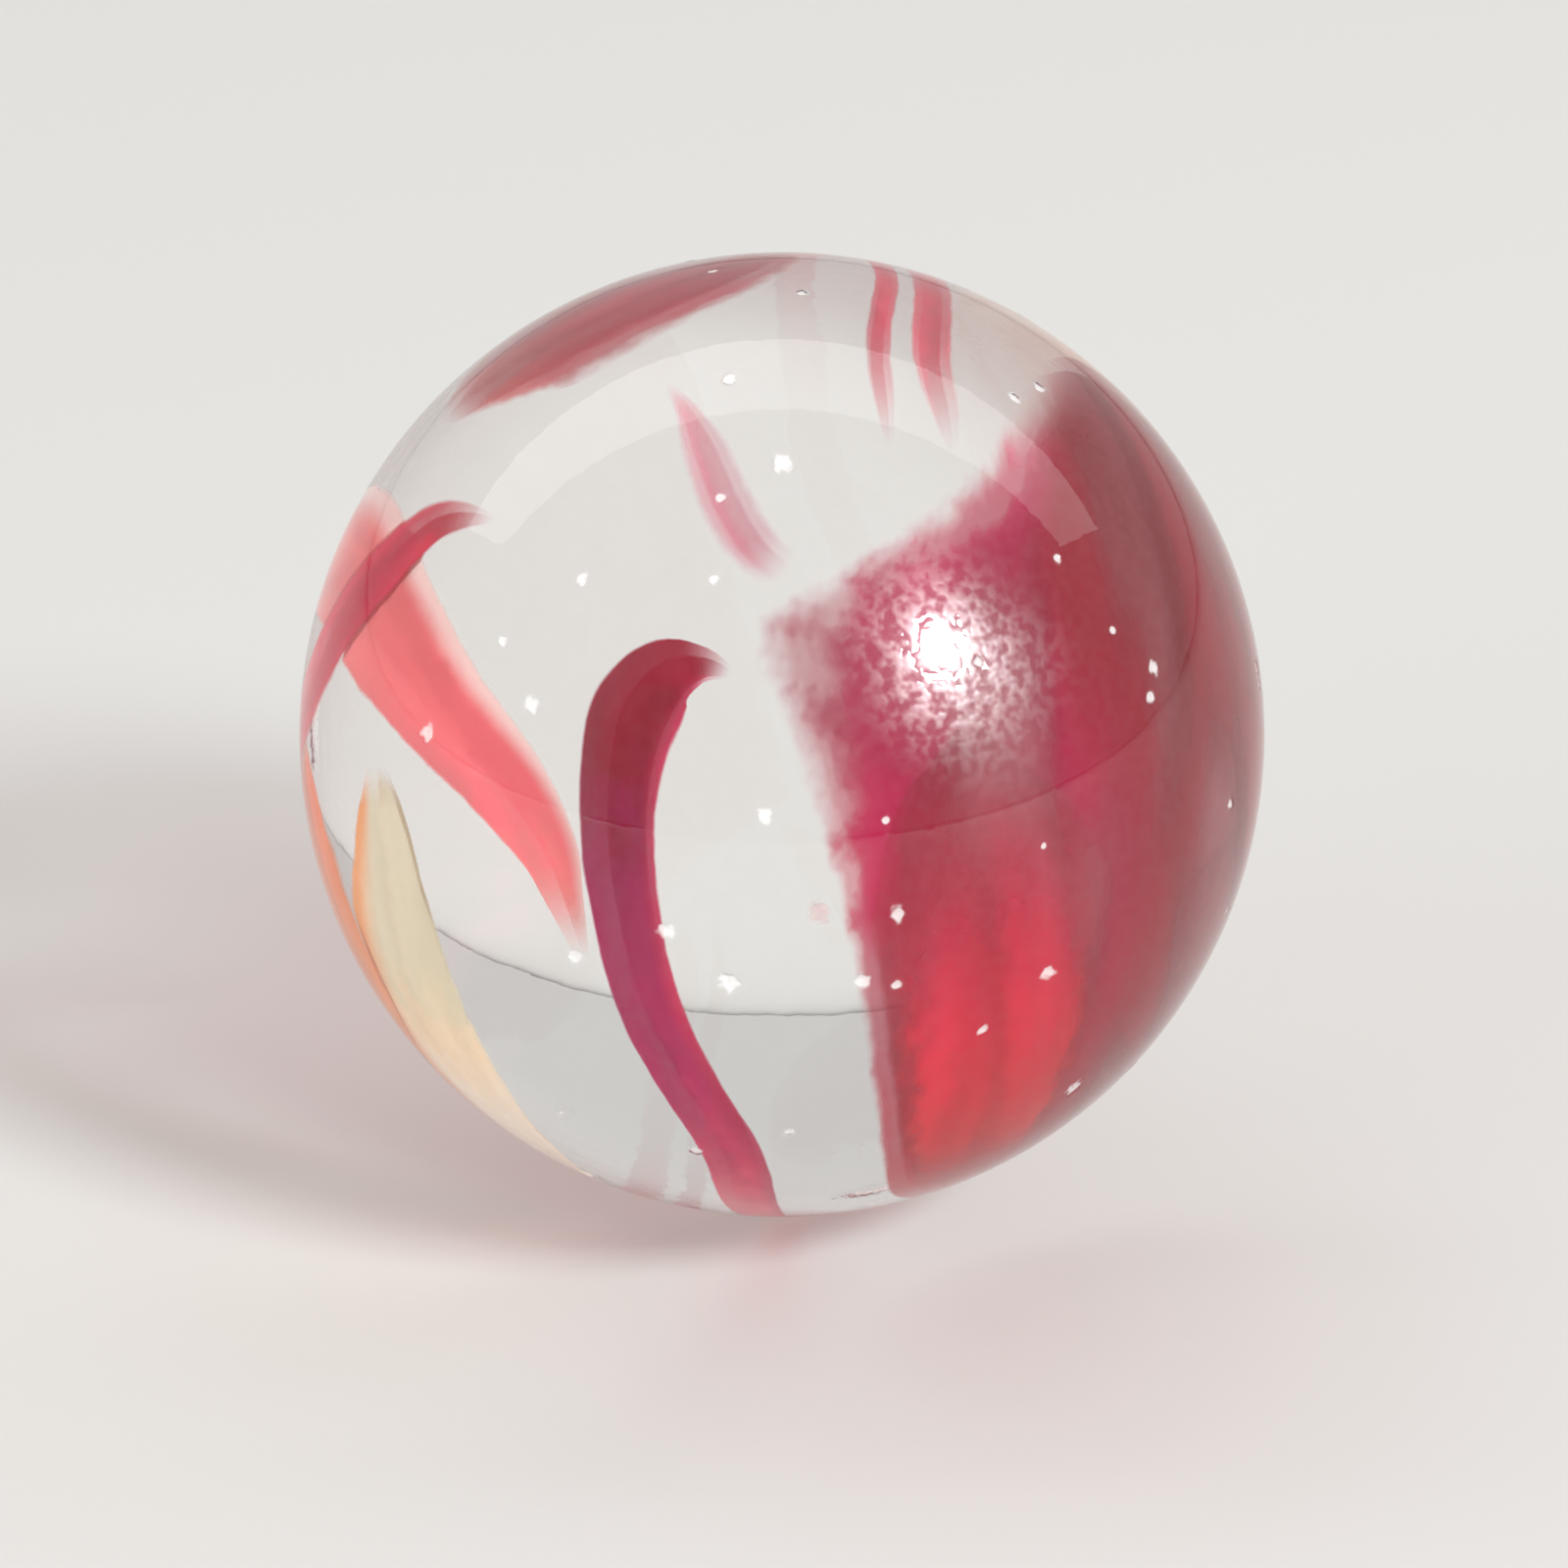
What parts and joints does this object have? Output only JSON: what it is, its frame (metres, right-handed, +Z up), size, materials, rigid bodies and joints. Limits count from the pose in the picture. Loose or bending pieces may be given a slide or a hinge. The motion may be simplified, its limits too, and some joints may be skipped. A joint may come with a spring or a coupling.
{
  "type": "glass marble",
  "caption": "Clear glass play marble, a plain ball with a broad red veil round one side and crimson, coral, amber and cream ribbons fused into it; it rolls, or rests in a ring or cup.",
  "frame": {"origin": "centre of the ball", "axes": "+Z up as it sits in a ring or cup; -Y faces the viewer of the picture, with the crimson ribbon in front and the red veil towards +X"},
  "size_m": [0.016, 0.016, 0.016],
  "materials": {
    "clear_glass": "gloss, finely worn",
    "crimson_glass": "gloss",
    "red_glass": "gloss, finely worn",
    "scarlet_glass": "gloss",
    "rose_glass": "gloss",
    "coral_glass": "gloss",
    "amber_glass": "gloss",
    "cream_glass": "gloss"
  },
  "bodies": {
    "root": {"clear_glass": "clear_glass", "crimson_ribbon": "crimson_glass", "red_veil": "red_glass", "scarlet_band": "scarlet_glass", "wisp": "rose_glass", "left_streak": "rose_glass", "right_streak": "rose_glass", "crown_band": "rose_glass", "side_ribbon": "crimson_glass", "coral_ribbon": "coral_glass", "amber_ribbon": "amber_glass", "cream_ribbon": "cream_glass"}
  },
  "joints": []
}
